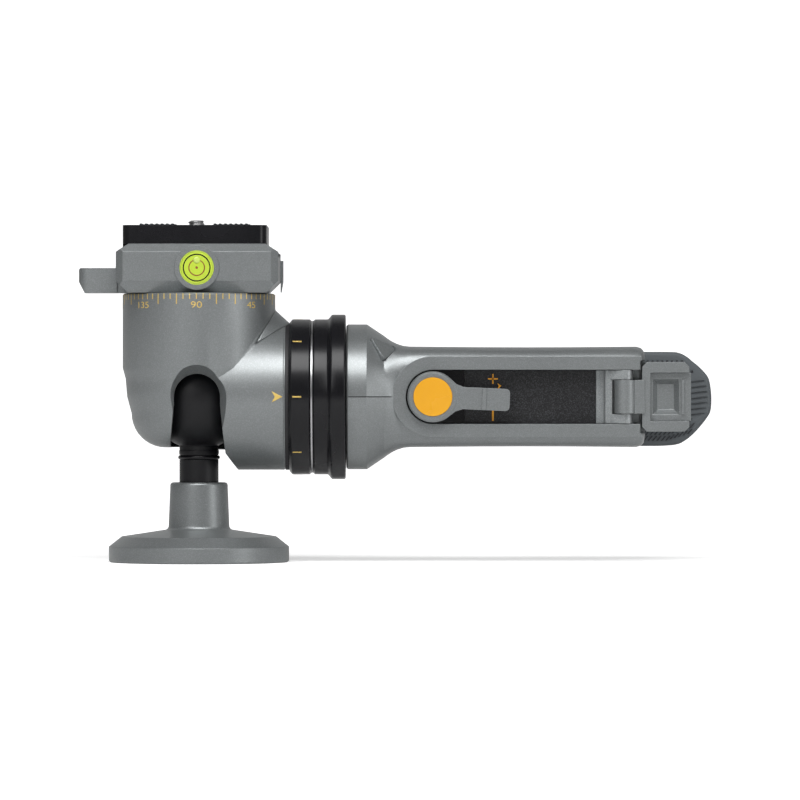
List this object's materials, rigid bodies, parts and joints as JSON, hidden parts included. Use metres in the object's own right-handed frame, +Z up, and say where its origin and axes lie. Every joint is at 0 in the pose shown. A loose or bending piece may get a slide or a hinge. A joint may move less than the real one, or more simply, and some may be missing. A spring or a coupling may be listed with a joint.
{
  "type": "tripod ball head",
  "caption": "Ball head on a round tripod base, with a long pistol grip, squeeze lever, turning collar, pan clamp and camera plate.",
  "frame": {"origin": "centre of the base's bottom face, where the tripod's screw enters", "axes": "+X along the grip, +Z up through stem, ball and camera screw, -Y towards the notch and the level"},
  "size_m": [0.2432, 0.0688, 0.1303],
  "materials": {
    "grey_paint": "satin metallic paint with fine sparkle",
    "black_anodised": "satin black",
    "black_panel": "black with fine sparkle",
    "rubber": "matt dark blue-grey",
    "steel": "turned",
    "spring_steel": "drawn wire",
    "bright_ring": "turned bright",
    "brass": "turned",
    "yellow_enamel": "gloss",
    "vial_green": "gloss",
    "vial_clear": "clear",
    "acetal": "moulded"
  },
  "bodies": {
    "base": {"base_plate": "grey_paint", "tripod_thread_bush": "brass", "ball_stem": "black_anodised", "stem_grub_screw": "steel"},
    "ball_swivel": {"stem_ring": "rubber"},
    "cup": {"ball_cup": "acetal"},
    "housing": {"head_housing": "grey_paint", "side_seat": "acetal", "spring_plug": "steel", "neck_nut": "steel", "brake_spring": "spring_steel", "click_ring": "steel"},
    "rod": {"brake_shoe": "acetal", "pull_rod": "steel", "rod_washer": "steel", "rod_nut": "steel"},
    "clamp": {"clamp_body": "grey_paint", "pan_bolt": "steel", "pan_washer": "acetal", "click_ball": "steel", "level_cup": "vial_green", "level_lens": "vial_clear", "jaw_guide_pins": "steel", "lever_pivot_pin": "steel"},
    "jaw": {"moving_jaw": "grey_paint"},
    "clamp_cam": {"clamp_lever": "grey_paint"},
    "plate": {"quick_plate": "black_anodised", "plate_pads": "rubber"},
    "screw": {"camera_screw": "steel", "screw_clip": "steel"},
    "handle": {"index_ring": "black_anodised", "spacer_ring": "bright_ring", "handle_hub": "black_anodised", "handle_shell_upper": "grey_paint", "handle_shell_lower": "grey_paint", "shell_screws": "steel", "front_panel": "black_panel", "lever_bed": "black_panel", "trigger_pin": "steel", "hinge_bracket": "grey_paint", "latch_pin": "steel", "button_spring": "spring_steel"},
    "collar": {"turn_collar": "black_anodised"},
    "friction": {"friction_lever": "grey_paint", "lever_cap": "yellow_enamel", "friction_spindle": "steel"},
    "trigger": {"trigger_lever": "black_anodised", "trigger_grip": "rubber"},
    "latch": {"latch_frame": "grey_paint", "latch_tray": "grey_paint"},
    "button": {"lock_button": "grey_paint"}
  },
  "joints": [
    {"name": "ball_spin", "type": "hinge", "parent": "base", "child": "ball_swivel", "pos_m": [0, 0, 0.063], "axis": [0, 0, 1], "continuous": true},
    {"name": "ball_tilt_x", "type": "hinge", "parent": "ball_swivel", "child": "cup", "pos_m": [0, 0, 0.063], "axis": [1, 0, 0], "range_deg": [-12, 90]},
    {"name": "ball_tilt_y", "type": "hinge", "parent": "cup", "child": "housing", "pos_m": [0, 0, 0.063], "axis": [0, 1, 0], "range_deg": [-6, 6]},
    {"name": "pan", "type": "hinge", "parent": "housing", "child": "clamp", "pos_m": [0, 0, 0.1023], "axis": [0, 0, 1], "continuous": true},
    {"name": "clamp_lever_turn", "type": "hinge", "parent": "clamp", "child": "clamp_cam", "pos_m": [-0.025, -0.003, 0.1045], "axis": [0, 0, 1], "range_deg": [0, 35]},
    {"name": "jaw_slide", "type": "slide", "parent": "clamp", "child": "jaw", "axis": [0, 1, 0], "range_m": [0, 0.0024]},
    {"name": "plate_slide", "type": "slide", "parent": "clamp", "child": "plate", "axis": [1, 0, 0], "range_m": [-0.062, 0.062]},
    {"name": "camera_screw_turn", "type": "hinge", "parent": "plate", "child": "screw", "pos_m": [-0.001, 0, 0.128], "axis": [0, 0, 1], "continuous": true},
    {"name": "rod_pull", "type": "slide", "parent": "housing", "child": "rod", "axis": [1, 0, 0], "range_m": [0, 0.001], "deforming": ["brake_spring"]},
    {"name": "handle_turn", "type": "hinge", "parent": "housing", "child": "handle", "pos_m": [0.04, 0, 0.063], "axis": [1, 0, 0], "continuous": true},
    {"name": "collar_turn", "type": "hinge", "parent": "handle", "child": "collar", "pos_m": [0.048, 0, 0.063], "axis": [1, 0, 0], "range_deg": [0, 40]},
    {"name": "friction_set", "type": "hinge", "parent": "handle", "child": "friction", "pos_m": [0.0891, -0.02, 0.063], "axis": [0, -1, 0], "range_deg": [-8.5, 13.5]},
    {"name": "trigger_squeeze", "type": "hinge", "parent": "handle", "child": "trigger", "pos_m": [0.077, -0.008, 0.063], "axis": [0, 0, -1], "range_deg": [0, 5], "stiffness_Nm_per_rad": 8, "springref_deg": -17.19},
    {"name": "latch_turn", "type": "hinge", "parent": "handle", "child": "latch", "pos_m": [0.162, -0.0186, 0.063], "axis": [0, 0, -1], "range_deg": [0, 75]},
    {"name": "button_press", "type": "slide", "parent": "handle", "child": "button", "axis": [-0.5562, 0.5496, -0.6234], "range_m": [0, 0.0015], "stiffness_N_per_m": 600, "springref_m": -0.002, "deforming": ["button_spring"]}
  ],
  "couplings": [
    {"joint": "clamp_lever_turn", "follows": "jaw_slide", "rad_per_m": 254.53},
    {"joint": "rod_pull", "follows": "trigger_squeeze", "m_per_rad": 0.011459}
  ]
}
